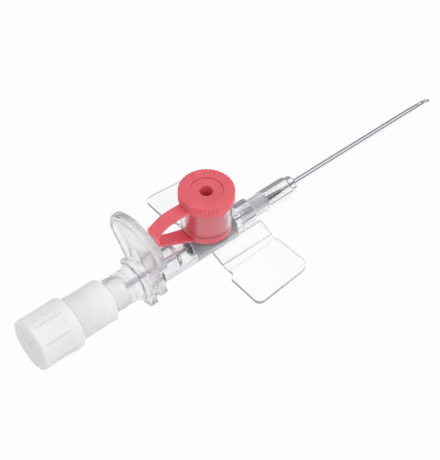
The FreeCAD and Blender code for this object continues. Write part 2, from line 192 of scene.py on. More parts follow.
world = bpy.data.worlds.new("white_studio")
scene.world = world
world.use_nodes = True
tree = world.node_tree
tree.nodes.clear()
where = add(tree, "ShaderNodeTexCoord").outputs["Generated"]
height = add(tree, "ShaderNodeSeparateXYZ", in0=where)
unit_height = add(tree, "ShaderNodeMapRange", in0=height.outputs["Z"], in1=-1.0, in2=1.0).outputs[0]
mirrored_studio = ramp(tree, unit_height, [
    (0.40, LOW_WHITE), (0.44, BAND), (0.80, BAND), (0.84, BAND_EDGE), (0.88, FULL_WHITE), (1.0, FULL_WHITE)])
studio_through = ramp(tree, unit_height, [
    (0.46, LOW_WHITE), (0.49, THROUGH_BAND), (0.60, THROUGH_BAND), (0.72, FULL_WHITE), (1.0, FULL_WHITE)])
towards = add(tree, "ShaderNodeVectorMath",
              operation="DOT_PRODUCT", in0=where, in1=BRIGHT_SIDE).outputs["Value"]
unit_side = add(tree, "ShaderNodeMapRange", in0=towards, in1=-1.0, in2=1.0).outputs[0]
matt_studio = ramp(tree, unit_side, [(0.3, MATT_DARK), (0.85, FULL_WHITE), (1.0, FULL_WHITE)])
path = add(tree, "ShaderNodeLightPath")
mirrored_room = add(tree, "ShaderNodeBackground", Color=mirrored_studio, Strength=1.0)
room_through = add(tree, "ShaderNodeBackground", Color=studio_through, Strength=1.0)
matt_room = add(tree, "ShaderNodeBackground", Color=matt_studio, Strength=1.0)
white = add(tree, "ShaderNodeBackground", Color=(*FULL_WHITE, 1), Strength=1.0)
mirrored = add(tree, "ShaderNodeMath", operation="GREATER_THAN", in0=path.outputs["Glossy Depth"], in1=0.5)
room = add(tree, "ShaderNodeMixShader",
           in0=mirrored.outputs[0], in1=room_through.outputs[0], in2=mirrored_room.outputs[0])
around = add(tree, "ShaderNodeMixShader",
             in0=path.outputs["Is Diffuse Ray"], in1=room.outputs[0], in2=matt_room.outputs[0])
seen = add(tree, "ShaderNodeMixShader",
           in0=path.outputs["Is Camera Ray"], in1=around.outputs[0], in2=white.outputs[0])
add(tree, "ShaderNodeOutputWorld", Surface=seen.outputs[0])

# %% The table
TABLE_HALF_SIDE = 1.5
TABLE_GLOW = 0.97
TABLE_PAINT = (0.60, 0.60, 0.60, 1)
TABLE_NEAR = 0.012
TABLE_FAR = 0.032
MIRRORED_NEAR = (0.92, 0.92, 0.94)

table_mesh = bpy.data.meshes.new("table")
signs = ((-1, -1), (1, -1), (1, 1), (-1, 1))
corners = [(x * TABLE_HALF_SIDE, y * TABLE_HALF_SIDE, cad_low.z) for x, y in signs]
table_mesh.from_pydata(corners, [], [(0, 1, 2, 3)])
table = bpy.data.objects.new("table", table_mesh)
scene.collection.objects.link(table)

table_paint = bpy.data.materials.new("white_table")
table_paint.use_nodes = True
tree = table_paint.node_tree
tree.nodes.clear()
path = add(tree, "ShaderNodeLightPath")
direct = add(tree, "ShaderNodeMath", operation="SUBTRACT", in0=1.0, in1=path.outputs["Is Diffuse Ray"])
amount = add(tree, "ShaderNodeMath", operation="MULTIPLY", in0=direct.outputs[0], in1=TABLE_GLOW)
spot = add(tree, "ShaderNodeTexCoord").outputs["Object"]
aside_y = add(tree, "ShaderNodeSeparateXYZ", in0=spot).outputs["Y"]
distance = add(tree, "ShaderNodeMath", operation="ABSOLUTE", in0=aside_y).outputs[0]
far_share = add(tree, "ShaderNodeMapRange", in0=distance, in1=TABLE_NEAR, in2=TABLE_FAR).outputs[0]
mirrored_table = ramp(tree, far_share, [(0.0, MIRRORED_NEAR), (1.0, BAND)])
mirrored = add(tree, "ShaderNodeMath", operation="GREATER_THAN", in0=path.outputs["Glossy Depth"], in1=0.5)
paint = add(tree, "ShaderNodeBsdfDiffuse", Color=TABLE_PAINT)
glow = add(tree, "ShaderNodeEmission", Color=(*FULL_WHITE, 1), Strength=1.0)
mirror_glow = add(tree, "ShaderNodeEmission", Color=mirrored_table, Strength=1.0)
lit = add(tree, "ShaderNodeMixShader",
          in0=mirrored.outputs[0], in1=glow.outputs[0], in2=mirror_glow.outputs[0])
mixed = add(tree, "ShaderNodeMixShader", in0=amount.outputs[0], in1=paint.outputs[0], in2=lit.outputs[0])
add(tree, "ShaderNodeOutputMaterial", Surface=mixed.outputs[0])
table_mesh.materials.append(table_paint)

# %% [markdown]
# ## Outlines and turned pieces
#
# Most of the cannula is turned: tubes, plugs, a lid and a cap are each one outline swept round an axis. A
# cylinder primitive would need cuts and bevels afterwards, so here the outline is written first, corner
# by corner, and every corner gets a small curve. Moulded plastic never has a knife edge, and it is the
# tiny curves that catch the light.
#
# A piece that isn't quite round, such as a knurled lid, uses the same sweep with a limit: a function that
# says how far out the surface may come at a given height and angle. Grooves and flats then need no
# boolean.

# %% Softened outline
CURVE_STEPS = 5
CORNER_SHARE = 0.45


def softened(corners, rounding):
    """Closed outline (along, out) with its corners curved; a corner may carry a rounding of its own."""
    points = []
    for index, corner in enumerate(corners):
        here = Vector(corner[:2])
        back_step = Vector(corners[index - 1][:2]) - here
        next_step = Vector(corners[(index + 1) % len(corners)][:2]) - here
        radius = corner[2] if len(corner) > 2 else rounding
        if radius == 0 or here.y == 0:
            points.append(here)
            continue
        half = back_step.angle(next_step) / 2
        reach = min(radius / math.tan(half), CORNER_SHARE * back_step.length, CORNER_SHARE * next_step.length)
        start = here + back_step.normalized() * reach
        end = here + next_step.normalized() * reach
        for step in range(CURVE_STEPS + 1):
            share = step / CURVE_STEPS
            points.append(start.lerp(here, share).lerp(here.lerp(end, share), share))
    return points


# %% Turned piece
ROUND_SEGMENTS = 128
FINE_EDGE = 0.05


def along_x(along, out, angle):
    """Place for a piece turned about the cannula's axis; angle 0 is up."""
    return (along, out * math.sin(angle), out * math.cos(angle))


def along_port(along, out, angle):
    """Place for a piece turned about the port's axis."""
    return (port_axis_x + out * math.cos(angle), out * math.sin(angle), along)


def piece_from(name, points, faces, body, nodes, finish):
    """Mesh object in metres from points in mm, riding on its body and standing for its CAD nodes."""
    mesh = bpy.data.meshes.new(name)
    mesh.from_pydata([tuple(value * MM for value in point) for point in points], [], faces)
    mesh.polygons.foreach_set("use_smooth", [True] * len(mesh.polygons))
    mesh.materials.append(finish)
    piece = bpy.data.objects.new(name, mesh)
    scene.collection.objects.link(piece)
    if body:
        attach(piece, body)
    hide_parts(*nodes)
    evened = piece.modifiers.new("even_shading", "WEIGHTED_NORMAL")
    evened.keep_sharp = True
    print(name, len(mesh.vertices), "points")
    return piece


def turned(name, corners, body, nodes, finish, place=along_x, rounding=FINE_EDGE,
           segments=ROUND_SEGMENTS, limit=None):
    """Closed outline (along, out) in mm, swept round an axis."""
    outline = softened(corners, rounding)
    points = []
    rings = []
    for along, out in outline:
        if out == 0:
            rings.append([len(points)] * segments)
            points.append(place(along, 0, 0))
            continue
        rings.append(range(len(points), len(points) + segments))
        for step in range(segments):
            angle = 2 * math.pi * step / segments
            reach = min(out, limit(along, angle)) if limit else out
            points.append(place(along, reach, angle))
    faces = []
    for index, ring in enumerate(rings):
        following = rings[(index + 1) % len(rings)]
        for step in range(segments):
            beside = (step + 1) % segments
            face = dict.fromkeys((ring[step], ring[beside], following[beside], following[step]))
            if len(face) > 2:
                faces.append(tuple(face))
    return piece_from(name, points, faces, body, nodes, finish)


def span(node):
    """Lowest and highest corner of a CAD node in mm."""
    low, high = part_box(node)
    return low / MM, high / MM


port_axis_x = port_centre.x / MM
print("port axis at", round(port_axis_x, 2))

# %% [markdown]
# ## Materials
#
# Each finish is one Principled shader. Clear plastic and the catheter's plastic transmit all light; what
# differs is their skin. A mould leaves a faint waviness. The neck of the hub is frosted, so between two
# stations along the cannula it gets rougher, lets less light through and takes a lilac grey. Upright faces
# low down and away from the axis, mostly the narrow edges of the wings, get the same rougher, less clear
# skin and the same lilac grey as painted shade, which draws their outlines: they are found by their
# normal, which lies level there. Milky plastic scatters light inside, which is what subsurface is for. The
# coral pieces scatter a little too, and their satin skin has a fine grain. Drawn steel has faint lines
# along its length, so its noise is stretched that way.
#
# A path tracer has trouble with light that reaches a matt surface through glass: it finds few such paths,
# and the surface behind the glass comes out dark. `let_light_in` makes clear plastic nearly absent for
# those rays only. Its opacity for the eye also sets how strong the plastic's edges look.
#
# The waviness and grain are noise textures in object coordinates, which are metres here, so a scale of a
# few hundred gives waves a few millimetres long. Grain finer than a pixel isn't worth having: it only
# turns into blotches.

# %% Shared parts of the materials
LIGHT_LOSS = 0.08


def finish_of(name, **values):
    """A material with one Principled shader, with its tree, its shader and object coordinates."""
    material = bpy.data.materials.new(name)
    material.use_nodes = True
    tree = material.node_tree
    shader = tree.nodes["Principled BSDF"]
    for key, value in values.items():
        shader.inputs[key.replace("_", " ")].default_value = value
    place = add(tree, "ShaderNodeTexCoord").outputs["Object"]
    return material, tree, shader, place


def waves(tree, place, scale, detail=2.0):
    """Noise from object coordinates, about 0.5 on average."""
    return add(tree, "ShaderNodeTexNoise", Vector=place, Scale=scale, Detail=detail).outputs["Fac"]


def bump(tree, shader, heights, depth, strength=1.0):
    """Bump from heights of 0 to 1, with depth in mm."""
    node = add(tree, "ShaderNodeBump", Height=heights, Strength=strength, Distance=depth * MM)
    tree.links.new(node.outputs["Normal"], shader.inputs["Normal"])


def between(tree, value, low, high, to_low, to_high):
    """Maps a value from one range to another, held at its ends."""
    return add(tree, "ShaderNodeMapRange", in0=value, in1=low, in2=high, in3=to_low, in4=to_high).outputs[0]


def let_light_in(tree, shader, opacity):
    """Opacity for the eye; light on its way to a matt surface passes nearly freely."""
    path = add(tree, "ShaderNodeLightPath")
    lighting = add(tree, "ShaderNodeMath", operation="MAXIMUM",
                   in0=path.outputs["Is Diffuse Ray"], in1=path.outputs["Is Shadow Ray"]).outputs[0]
    tree.links.new(between(tree, lighting, 0.0, 1.0, opacity, LIGHT_LOSS), shader.inputs["Alpha"])


def turns_at(tree, station, x, fade):
    """0 behind a station along the cannula and 1 ahead of it, with a short fade; both in mm."""
    return between(tree, station, (x - fade) * MM, (x + fade) * MM, 0.0, 1.0)


# %% Clear moulding, frosted at the neck, with painted shade on the wings' edges
WAVE_SCALE = 420.0
NECK_REAR, NECK_FRONT = -10.9, -7.1
SHORT_FADE = 0.25
LONG_FADE = 1.0
THIN_FRONT_X = -14.5
BARREL_REACH = 2.4
CLEAR_TINT = (0.99, 0.99, 0.995)
FROST_AND_EDGE_SHADE_TINT = (0.64, 0.63, 0.68)
WING_TOP_Z = -1.2

OPACITY_REAR, OPACITY_FRONT = 0.95, 0.80
FROST_ROUGHNESS = 0.42
FROST_TRANSMISSION = 0.55
SIDE_STEEPNESS, FLAT_STEEPNESS = 0.35, 0.85

clear, tree, shader, place = finish_of("clear_moulding", IOR=1.49)
station = add(tree, "ShaderNodeSeparateXYZ", in0=place).outputs["X"]
in_front = turns_at(tree, station, THIN_FRONT_X, LONG_FADE)
let_light_in(tree, shader, between(tree, in_front, 0.0, 1.0, OPACITY_REAR, OPACITY_FRONT))
past_rear = turns_at(tree, station, NECK_REAR, SHORT_FADE)
past_front = turns_at(tree, station, NECK_FRONT, SHORT_FADE)
in_neck = add(tree, "ShaderNodeMath", operation="SUBTRACT", in0=past_rear, in1=past_front).outputs[0]
across = (0, 1, 1)
from_axis = add(tree, "ShaderNodeVectorMath", operation="MULTIPLY", in0=place, in1=across).outputs["Vector"]
radius = add(tree, "ShaderNodeVectorMath", operation="LENGTH", in0=from_axis).outputs["Value"]
near_axis = between(tree, radius, BARREL_REACH * MM, (BARREL_REACH + SHORT_FADE) * MM, 1.0, 0.0)
in_neck = add(tree, "ShaderNodeMath", operation="MULTIPLY", in0=in_neck, in1=near_axis).outputs[0]
skin_normal = add(tree, "ShaderNodeTexCoord").outputs["Normal"]
upright = add(tree, "ShaderNodeSeparateXYZ", in0=skin_normal).outputs["Z"]
steepness = add(tree, "ShaderNodeMath", operation="ABSOLUTE", in0=upright).outputs[0]
on_side = between(tree, steepness, SIDE_STEEPNESS, FLAT_STEEPNESS, 1.0, 0.0)
level = add(tree, "ShaderNodeSeparateXYZ", in0=place).outputs["Z"]
low_down = between(tree, level, (WING_TOP_Z - SHORT_FADE) * MM, WING_TOP_Z * MM, 1.0, 0.0)
off_axis = add(tree, "ShaderNodeMath", operation="SUBTRACT", in0=1.0, in1=near_axis).outputs[0]
in_wing = add(tree, "ShaderNodeMath", operation="MULTIPLY", in0=low_down, in1=off_axis).outputs[0]
# Painted shade: upright faces low down and off the axis, mostly the wings' edges, take the lilac grey tint.
painted_wing_edge_shade = add(tree, "ShaderNodeMath", operation="MULTIPLY", in0=on_side, in1=in_wing).outputs[0]
frost_and_edge_shade = add(tree, "ShaderNodeMath", operation="MAXIMUM", in0=in_neck, in1=painted_wing_edge_shade).outputs[0]
tree.links.new(between(tree, frost_and_edge_shade, 0.0, 1.0, 0.0, FROST_ROUGHNESS), shader.inputs["Roughness"])
tree.links.new(between(tree, frost_and_edge_shade, 0.0, 1.0, 1.0, FROST_TRANSMISSION), shader.inputs["Transmission Weight"])
# The lilac grey is the frost's own colour at the neck and painted shade on the wings' edges.
tree.links.new(ramp(tree, frost_and_edge_shade, [(0.0, CLEAR_TINT), (1.0, FROST_AND_EDGE_SHADE_TINT)]), shader.inputs["Base Color"])
bump(tree, shader, waves(tree, place, WAVE_SCALE), 0.003)

# %% Catheter plastic
catheter_clear, tree, shader, place = finish_of(
    "catheter_plastic", Base_Color=(0.985, 0.985, 0.99, 1), Roughness=0.0, IOR=1.34, Transmission_Weight=1.0)
let_light_in(tree, shader, 1.0)

# %% Frosted moulding of the needle hub
frosted, tree, shader, place = finish_of(
    "frosted_moulding", Base_Color=(0.985, 0.98, 1.0, 1), IOR=1.42)
let_light_in(tree, shader, 0.95)
TAPER_REAR = -33.8
station = add(tree, "ShaderNodeSeparateXYZ", in0=place).outputs["X"]
in_taper = turns_at(tree, station, TAPER_REAR, SHORT_FADE)
tree.links.new(between(tree, in_taper, 0.0, 1.0, 0.80, 1.0), shader.inputs["Transmission Weight"])
bloom = between(tree, waves(tree, place, 260.0), 0.3, 0.7, 0.10, 0.18)
clearness = between(tree, in_taper, 0.0, 1.0, 1.0, 0.0)
bloom = add(tree, "ShaderNodeMath", operation="MULTIPLY", in0=bloom, in1=clearness).outputs[0]
tree.links.new(bloom, shader.inputs["Roughness"])
shader.inputs["Subsurface Weight"].default_value = 1.0
shader.inputs["Subsurface Radius"].default_value = (1.0, 1.0, 1.0)
shader.inputs["Subsurface Scale"].default_value = 2 * MM
bump(tree, shader, waves(tree, place, WAVE_SCALE), 0.02)

# %% Milky moulding of the plug and cap
milky, tree, shader, place = finish_of(
    "milky_moulding", Base_Color=(0.91, 0.895, 0.90, 1), IOR=1.49)
shader.inputs["Subsurface Weight"].default_value = 1.0
shader.inputs["Subsurface Radius"].default_value = (1.0, 0.98, 0.96)
shader.inputs["Subsurface Scale"].default_value = 1.2 * MM
tree.links.new(between(tree, waves(tree, place, 300.0), 0.3, 0.7, 0.22, 0.32), shader.inputs["Roughness"])
bump(tree, shader, waves(tree, place, 1500.0), 0.004)

# %% Coral moulding
CORAL_LIGHT = (0.86, 0.155, 0.195)
CORAL_DEEP = (0.81, 0.135, 0.17)

coral, tree, shader, place = finish_of("coral_moulding", Roughness=0.36, IOR=1.49)
shader.inputs["Subsurface Weight"].default_value = 0.9
shader.inputs["Subsurface Radius"].default_value = (1.0, 0.2, 0.18)
shader.inputs["Subsurface Scale"].default_value = 1.4 * MM
blotches = ramp(tree, waves(tree, place, 350.0), [(0.3, CORAL_DEEP), (0.7, CORAL_LIGHT)])
tree.links.new(blotches, shader.inputs["Base Color"])
bump(tree, shader, waves(tree, place, 5000.0, 3.0), 0.006)

# %% Steel, silicone and filter
steel, tree, shader, place = finish_of("polished_steel", Base_Color=(0.92, 0.92, 0.94, 1), Metallic=1.0)
stretch = add(tree, "ShaderNodeMapping", Vector=place, Scale=(40.0, 500.0, 500.0)).outputs[0]
drawn = waves(tree, stretch, 2.0)
tree.links.new(between(tree, drawn, 0.3, 0.7, 0.08, 0.13), shader.inputs["Roughness"])

grey_silicone, tree, shader, place = finish_of(
    "grey_silicone", Base_Color=(0.36, 0.36, 0.38, 1), Roughness=0.3, IOR=1.41, Transmission_Weight=0.35)
bump(tree, shader, waves(tree, place, 2500.0), 0.01)

fibre, tree, shader, place = finish_of("filter_fibre", Base_Color=(0.90, 0.90, 0.89, 1), Roughness=0.8)
bump(tree, shader, waves(tree, place, 9000.0, 5.0), 0.05)

# %% [markdown]
# ## Needle, catheter, ferrule and valve
#
# These are tubes one inside the other. The CAD pieces are made of narrow flat facets, which clear plastic
# turns into sparkle, so each tube is swept again with many segments and smooth shading. The needle's
# point is a ground bevel: one slanted plane cuts the tube, and the cut ring is filled. A boolean with a
# block would do the same, but bisecting keeps the faces clean.

# %% The tubes
TUBE_SEGMENTS = 64
NEEDLE_BORE = 0.56
CATHETER_OD = 1.10
CATHETER_BORE = 0.86
CATHETER_TIP_OD = 0.94
CATHETER_TIP_LENGTH = 2.9
FERRULE_WALL = 0.12
FERRULE_CONE_OD = 1.96
CATHETER_NECK = 0.7

ferrule_low, ferrule_high = span("catheter_ferrule")
tube_low, tube_high = span("catheter_tube")
cone_x = tube_low.x
cone_end_x = ferrule_high.x
tube_wall = (CATHETER_OD - CATHETER_BORE) / 2
cone_end = CATHETER_BORE / 2 + FERRULE_WALL / 2

turned("catheter", [
    (cone_x, FERRULE_CONE_OD / 2),
    (cone_x, FERRULE_CONE_OD / 2 + tube_wall),
    (cone_end_x, cone_end + tube_wall, 2.0),
    (cone_end_x + CATHETER_NECK, CATHETER_OD / 2, 2.0),
    (tube_high.x - CATHETER_TIP_LENGTH, CATHETER_OD / 2, 2.0),
    (tube_high.x, CATHETER_TIP_OD / 2, 0.02),
    (tube_high.x, CATHETER_BORE / 2, 0),
    (cone_end_x + CATHETER_NECK, CATHETER_BORE / 2, 2.0),
    (cone_end_x, cone_end, 2.0),
], "hub", ["catheter_tube"], catheter_clear, segments=TUBE_SEGMENTS, rounding=0.02)

turned("ferrule", [
    (ferrule_low.x, ferrule_high.z - FERRULE_WALL),
    (ferrule_low.x, ferrule_high.z),
    (cone_x, ferrule_high.z),
    (cone_x, FERRULE_CONE_OD / 2),
    (cone_end_x, cone_end),
    (cone_end_x, CATHETER_BORE / 2),
    (cone_x, FERRULE_CONE_OD / 2 - FERRULE_WALL),
], "hub", ["catheter_ferrule"], steel, segments=TUBE_SEGMENTS, rounding=0.03)

VALVE_BORE = 2.5
valve_low, valve_high = span("valve_sleeve")
turned("valve", [
    (valve_low.x, VALVE_BORE / 2, 0.15),
    (valve_low.x, valve_high.z, 0.25),
    (valve_high.x, valve_high.z, 0.1),
    (valve_high.x, VALVE_BORE / 2, 0.15),
], "hub", ["valve_sleeve"], grey_silicone, segments=TUBE_SEGMENTS)

# %% The needle and its point
BEVEL_ANGLE = math.radians(18.0)

needle_low, needle_high = span("needle")
needle_radius = needle_high.z
needle = turned("steel_needle", [
    (needle_low.x, NEEDLE_BORE / 2),
    (needle_low.x, needle_radius),
    (needle_high.x, needle_radius, 0),
    (needle_high.x, NEEDLE_BORE / 2, 0),
], "needle_unit", ["needle"], steel, segments=TUBE_SEGMENTS, rounding=0.02)

ground = bmesh.new()
ground.from_mesh(needle.data)
point = Vector((needle_high.x, 0, -needle_radius)) * MM
slope = Vector((math.sin(BEVEL_ANGLE), 0, math.cos(BEVEL_ANGLE)))
cut = bmesh.ops.bisect_plane(ground, geom=ground.verts[:] + ground.edges[:] + ground.faces[:],
                             plane_co=point, plane_no=slope, clear_outer=True)
rim = [item for item in cut["geom_cut"] if isinstance(item, bmesh.types.BMEdge)]
bevel = bmesh.ops.bridge_loops(ground, edges=rim)
for face in bevel["faces"]:
    face.smooth = False
ground.to_mesh(needle.data)
ground.free()
print("bevel faces:", len(bevel["faces"]))

# %% [markdown]
# ## The coral lid
#
# The lid is one moulding: a knurled rim, a shallow recess with a blind hole, and below it a skirt and a
# plug that close the port. The knurl runs from the top edge down and ends above a smooth band. A normal
# map of ridges would look right from above but leave the silhouette smooth, so the grooves are cut in the
# mesh with the limit.

# %% Lid
LID_RECESS_OD = 6.0
LID_RECESS_DEPTH = 0.35
LID_HOLE_OD = 2.35
LID_HOLE_DEPTH = 5.4
LID_HOLE_FLOOR = 0.6
LID_RIM_THICKNESS = 2.1
LID_SKIRT_OD = 7.66
LID_SKIRT_WALL = 0.55
LID_PLUG_OD = 4.18
LID_PLUG_TIP_OD = 3.96
KNURL_COUNT = 46
KNURL_DEPTH = 0.2
KNURL_BAND = 1.3
KNURL_FADE = 0.08

lid_low_mm, lid_high_mm = span("port_lid")
lid_top = lid_high_mm.z
lid_radius = lid_high_mm.y
rim_low = lid_top - LID_RIM_THICKNESS
recess_floor = lid_top - LID_RECESS_DEPTH


def smooth_step(value, low, high):
    """0 below low, 1 above high and a smooth rise between them."""
    share = min(max((value - low) / (high - low), 0), 1)
    return share * share * (3 - 2 * share)


def knurl(along, angle):
    """Radius under which the lid stays: round below the knurl, grooved along it."""
    groove = (0.5 + 0.5 * math.cos(KNURL_COUNT * angle)) ** 2
    above_band = smooth_step(along, rim_low + KNURL_BAND, rim_low + KNURL_BAND + KNURL_FADE)
    return lid_radius - KNURL_DEPTH * groove * above_band


turned("lid", [
    (lid_low_mm.z, LID_SKIRT_OD / 2),
    (rim_low, LID_SKIRT_OD / 2),
    (rim_low, lid_radius, 0.12),
    (rim_low + KNURL_BAND, lid_radius, 0),
    (rim_low + KNURL_BAND + KNURL_FADE, lid_radius, 0),
    (lid_top, lid_radius, 0.15),
    (lid_top, LID_RECESS_OD / 2, 0.12),
    (recess_floor, LID_RECESS_OD / 2, 0.1),
    (recess_floor, LID_HOLE_OD / 2, 0.15),
    (lid_top - LID_HOLE_DEPTH, LID_HOLE_OD / 2, 0.2),
    (lid_top - LID_HOLE_DEPTH, 0),
    (lid_top - LID_HOLE_DEPTH - LID_HOLE_FLOOR, 0),
    (lid_top - LID_HOLE_DEPTH - LID_HOLE_FLOOR, LID_PLUG_TIP_OD / 2, 0.15),
    (rim_low, LID_PLUG_OD / 2),
    (rim_low, LID_SKIRT_OD / 2 - LID_SKIRT_WALL),
    (lid_low_mm.z, LID_SKIRT_OD / 2 - LID_SKIRT_WALL),
], "lid", ["port_lid"], coral, place=along_port, segments=KNURL_COUNT * 8, limit=knurl)

# %% [markdown]
# ## The strap
#
# A ring clips into the groove at the port's foot, and a flat strap runs back from it, folds on itself and
# comes forward to the lid. On the real product ring, strap and lid are one moulding, and the strap is
# flexible. Here the ring rides on the hub, and the folded strap is on no body and stays where it is.
#
# The folded strap is one side view, drawn as a closed outline of its two arms, and then carried across
# its width. The fold is a little askew, as a strap that was bent by hand is, so the two ends of each line
# differ in X.

# %% Ring of the strap
RING_WALL = 0.34
RING_HEIGHT = 1.2
PORT_RADIUS = 4.48

strap_low, _ = span("port_strap")
ring_low = strap_low.z

turned("strap_ring", [
    (ring_low, PORT_RADIUS - RING_WALL),
    (ring_low, PORT_RADIUS, 0.12),
    (ring_low + RING_HEIGHT, PORT_RADIUS, 0.12),
    (ring_low + RING_HEIGHT, PORT_RADIUS - RING_WALL),
], "hub", ["port_strap"], coral, place=along_port)

# %% Folded strap
STRAP_WIDTH = 2.6
STRAP_THICKNESS = 0.45
STRAP_WEB = 0.4
STRAP_EDGE = 0.06
STRAP_FLARE = 0.4
FLARE_REACHES = (4.2, 4.6, 5.0, 5.4, 5.9, 6.5)
RING_END = (4.2, 3.07)
FOLD_LOW = (11.65, 6.70)
FOLD_HIGH = (11.9, 9.33)
CREST = (9.1, 10.87)
LID_END = (4.4, 10.83)
CREST_ROUND = 10.0

low_slope = (FOLD_LOW[1] - RING_END[1]) / (FOLD_LOW[0] - RING_END[0])
high_slope = (CREST[1] - FOLD_HIGH[1]) / (FOLD_HIGH[0] - CREST[0])


def low_arm(reach, above=0):
    """Corner on the lower arm at a reach from the port's axis."""
    return (reach, RING_END[1] + low_slope * (reach - RING_END[0]) + above, 0)


side_view = [
    (LID_END[0], LID_END[1], 0),
    (CREST[0], CREST[1], CREST_ROUND),
    (FOLD_HIGH[0], FOLD_HIGH[1], 0.05),
    (FOLD_HIGH[0], FOLD_HIGH[1] - STRAP_THICKNESS, 0.05),
    (FOLD_LOW[0], FOLD_LOW[1] + STRAP_THICKNESS, 0.05),
    (FOLD_LOW[0], FOLD_LOW[1], 0.05),
    *[low_arm(reach) for reach in reversed(FLARE_REACHES)],
    *[low_arm(reach, STRAP_THICKNESS) for reach in FLARE_REACHES],
    (*low_arm(FOLD_LOW[0] - STRAP_WEB, STRAP_THICKNESS)[:2], 0.05),
    (FOLD_HIGH[0] - STRAP_WEB, FOLD_HIGH[1] - STRAP_THICKNESS + high_slope * STRAP_WEB, 0.05),
    (CREST[0], CREST[1] - STRAP_THICKNESS, CREST_ROUND),
    (LID_END[0], LID_END[1] - STRAP_THICKNESS, 0),
]
loop = softened(side_view, 0)
half_widths = [-1, -1 + 2 * STRAP_EDGE / STRAP_WIDTH, 1 - 2 * STRAP_EDGE / STRAP_WIDTH, 1]
middle_z = (FOLD_LOW[1] + FOLD_HIGH[1]) / 2
points = []
for share in half_widths:
    for reach, z in loop:
        flare = 0 if z > middle_z else 1 - smooth_step(reach, FLARE_REACHES[0], FLARE_REACHES[-1])
        y = share * (STRAP_WIDTH / 2 + STRAP_FLARE * flare)
        points.append((port_axis_x - reach, y, z))
count = len(loop)
faces = [tuple(range(count)), tuple(reversed(range(3 * count, 4 * count)))]
for row in range(len(half_widths) - 1):
    for step in range(count):
        beside = (step + 1) % count
        near, far = row * count, (row + 1) * count
        faces.append((near + beside, near + step, far + step, far + beside))
strap = piece_from("strap_band", points, faces, None, ["port_strap"], coral)
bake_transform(strap)

# %% [markdown]
# ## Plug, filter and cap
#
# The plug closes the flash chamber: a spigot in the chamber, a web with a vent hole behind a porous disc,
# and a collar. The cap's neck sits in the collar. Both are turned. The cap's grip has eight nearly flat
# pads with a fine groove at each corner, and both come from one limit on the radius.

# %% Plug and filter
PLUG_SPIGOT_OD = 4.64
PLUG_SPIGOT_BORE = 3.2
PLUG_SOCKET_BORE = 6.3
PLUG_SOCKET_DEPTH = 3.4
PLUG_VENT_BORE = 1.6
PLUG_SPIGOT_LENGTH = 3.4

plug_low, plug_high = span("vent_plug")
filter_low, filter_high = span("vent_filter")
plug_collar_x = plug_high.x - PLUG_SPIGOT_LENGTH
socket_x = plug_low.x + PLUG_SOCKET_DEPTH
turned("plug", [
    (plug_high.x, PLUG_SPIGOT_BORE / 2),
    (plug_high.x, PLUG_SPIGOT_OD / 2, 0.15),
    (plug_collar_x, PLUG_SPIGOT_OD / 2),
    (plug_collar_x, plug_high.z, 0.35),
    (plug_low.x, plug_high.z, 0.35),
    (plug_low.x, PLUG_SOCKET_BORE / 2, 0.1),
    (socket_x, PLUG_SOCKET_BORE / 2),
    (socket_x, PLUG_VENT_BORE / 2),
    (filter_low.x, PLUG_VENT_BORE / 2),
    (filter_low.x, PLUG_SPIGOT_BORE / 2),
], "plug", ["vent_plug"], milky)

turned("filter_disc", [
    (filter_low.x, 0),
    (filter_low.x, PLUG_SPIGOT_BORE / 2),
    (filter_high.x, PLUG_SPIGOT_BORE / 2),
    (filter_high.x, 0),
], "plug", ["vent_filter"], fibre)

# %% Cap
CAP_NECK_LENGTH = 2.1
CAP_NECK_OD = 6.24
CAP_NECK_WALL = 0.8
CAP_PLAIN_LENGTH = 1.95
CAP_FLATS = 9.3
CAP_PAD_COUNT = 8
CAP_GROOVE_WIDTH = 0.45
CAP_GROOVE_DEPTH = 0.25
CAP_GROOVE_TURN = math.radians(7.7)
CAP_CAVITY_DEPTH = 5.5
CAP_DIMPLE_OD = 1.6
CAP_DIMPLE_DEPTH = 0.4
CAP_OD = 9.6
CAP_FADE = 0.6
FADE_STEPS = 6
PAD_ANGLE = 2 * math.pi / CAP_PAD_COUNT

cap_low, cap_high = span("luer_cap")
cap_front_x = cap_high.x - CAP_NECK_LENGTH
cap_radius = CAP_OD / 2
pad_x = cap_front_x - CAP_PLAIN_LENGTH
groove_half = CAP_GROOVE_WIDTH / 2 / cap_radius


def pads(along, angle):
    """Radius under which the cap's grip stays: flats and corner grooves, both fading at their ends."""
    turn = (-angle - CAP_GROOVE_TURN) % PAD_ANGLE
    from_groove = min(turn, PAD_ANGLE - turn)
    flat = min(CAP_FLATS / 2 / math.cos(PAD_ANGLE / 2 - from_groove), cap_radius)
    in_grip = smooth_step(pad_x - along, 0, CAP_FADE)
    in_groove = 1 - smooth_step(from_groove, groove_half * 0.7, groove_half * 1.3)
    off_end = smooth_step(along - cap_low.x, CAP_FADE, 2 * CAP_FADE)
    return cap_radius - in_grip * (cap_radius - flat + CAP_GROOVE_DEPTH * in_groove * off_end)


fade_shares = [step / FADE_STEPS for step in range(FADE_STEPS + 1)]
turned("cap", [
    (cap_front_x - CAP_CAVITY_DEPTH, 0),
    (cap_front_x - CAP_CAVITY_DEPTH, CAP_NECK_OD / 2 - CAP_NECK_WALL, 0.3),
    (cap_high.x, CAP_NECK_OD / 2 - CAP_NECK_WALL),
    (cap_high.x, CAP_NECK_OD / 2, 0.15),
    (cap_front_x, CAP_NECK_OD / 2),
    (cap_front_x, cap_radius, 0.9),
    *[(pad_x - share * CAP_FADE, cap_radius, 0) for share in fade_shares],
    *[(cap_low.x + (2 - share) * CAP_FADE, cap_radius, 0) for share in fade_shares],
    (cap_low.x, cap_radius, 0.6),
    (cap_low.x, CAP_DIMPLE_OD / 2, 0.3),
    (cap_low.x + CAP_DIMPLE_DEPTH, 0),
], "cap", ["luer_cap"], milky, segments=CAP_PAD_COUNT * 40, limit=pads)

